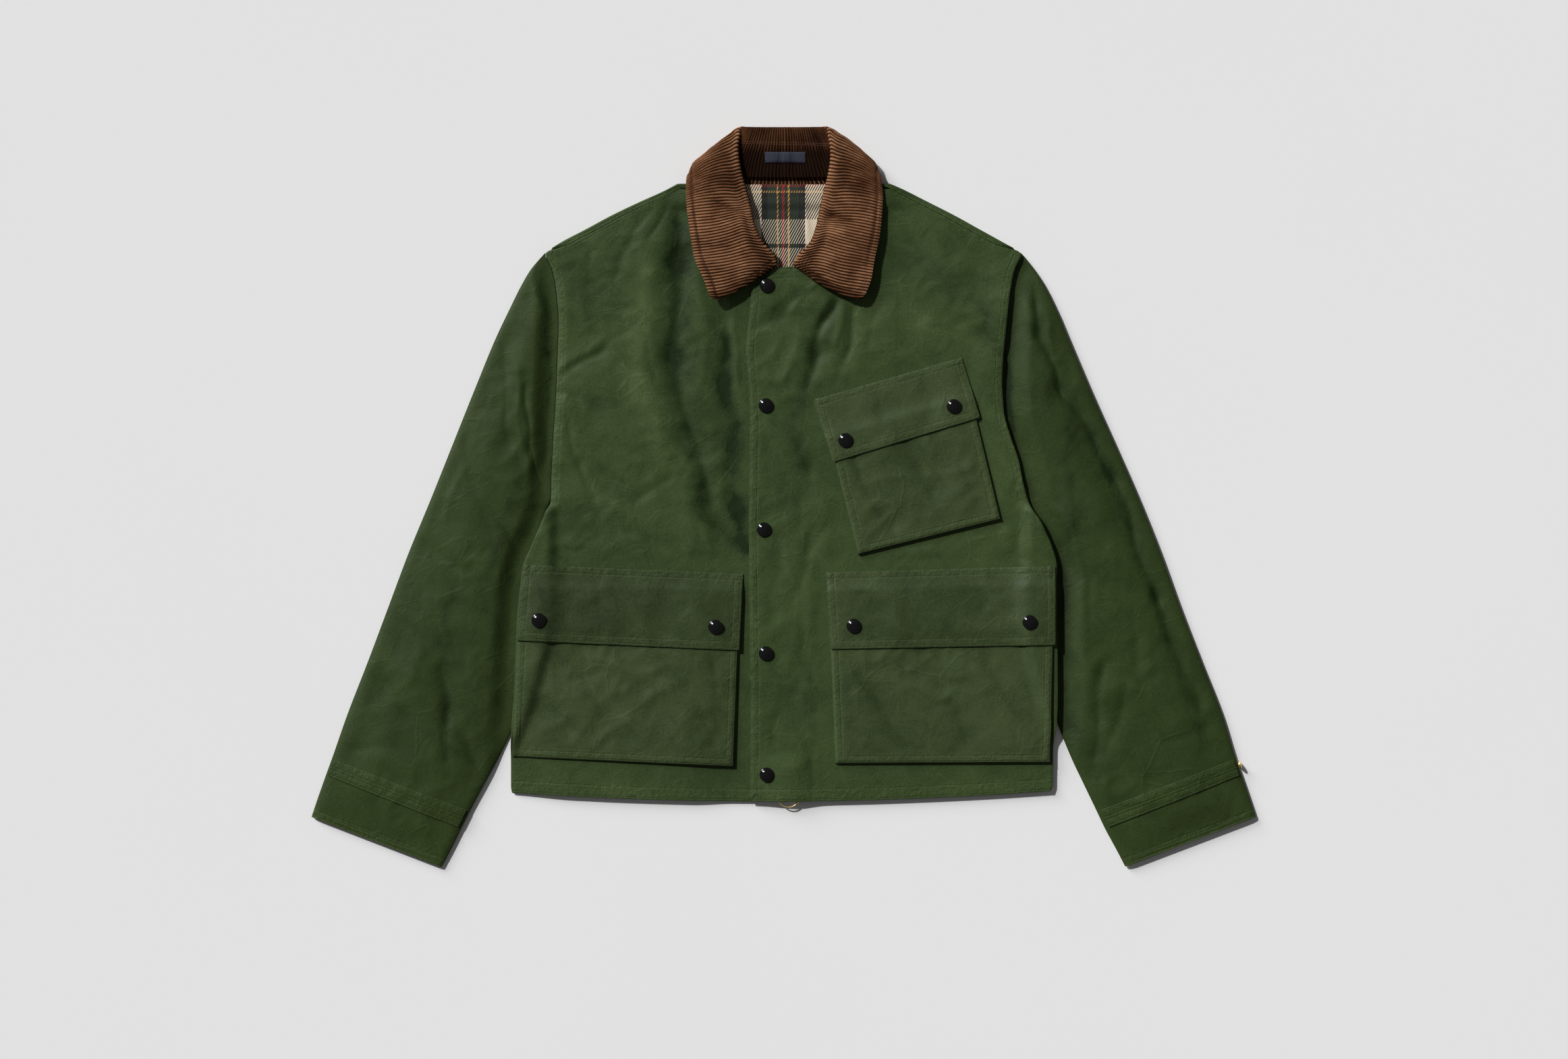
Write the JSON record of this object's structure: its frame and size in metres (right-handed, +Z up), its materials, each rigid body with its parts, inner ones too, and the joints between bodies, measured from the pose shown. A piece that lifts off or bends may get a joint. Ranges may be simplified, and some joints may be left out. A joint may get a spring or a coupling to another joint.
{
  "type": "waxed cotton jacket",
  "caption": "Short waxed cotton work jacket laid flat, front up: corduroy collar, snapped storm fly, flapped bellows pockets, slanted chest pocket and plaid neck lining.",
  "frame": {"origin": "middle of the jacket's outline on the surface it lies on", "axes": "+Z up off the surface, +Y from the hem to the collar, +X towards the wearer's left sleeve"},
  "size_m": [0.9788, 0.7672, 0.0207],
  "materials": {
    "waxed_cotton": "waxed, soft sheen",
    "plaid_lining": "brushed twill",
    "corduroy": "napped wales",
    "label_cloth": "woven, plain",
    "black_gloss": "glossy enamel",
    "brass": "polished"
  },
  "bodies": {
    "jacket": {"back_panel": "waxed_cotton", "front_right": "waxed_cotton", "front_left": "waxed_cotton", "sleeve_right": "waxed_cotton", "sleeve_left": "waxed_cotton", "cuff_strap_right": "waxed_cotton", "cuff_strap_left": "waxed_cotton", "pocket_hip_right": "waxed_cotton", "pocket_hip_left": "waxed_cotton", "pocket_chest": "waxed_cotton", "flap_hip_right": "waxed_cotton", "flap_hip_left": "waxed_cotton", "flap_chest": "waxed_cotton", "neck_lining": "plaid_lining", "collar": "corduroy", "neck_label": "label_cloth", "snap_fly_1": "black_gloss", "snap_fly_2": "black_gloss", "snap_fly_3": "black_gloss", "snap_fly_4": "black_gloss", "snap_fly_5": "black_gloss", "snap_hip_right_1": "black_gloss", "snap_hip_right_2": "black_gloss", "snap_hip_left_1": "black_gloss", "snap_hip_left_2": "black_gloss", "snap_chest_1": "black_gloss", "snap_chest_2": "black_gloss", "cuff_stud": "brass", "zip_slider": "brass"},
    "ring": {"zip_ring": "brass"}
  },
  "joints": [
    {"name": "zip_ring_swing", "type": "hinge", "parent": "jacket", "child": "ring", "pos_m": [0.0053, -0.2982, 0.006], "axis": [0, 0, 1], "range_deg": [-20, 20]}
  ]
}
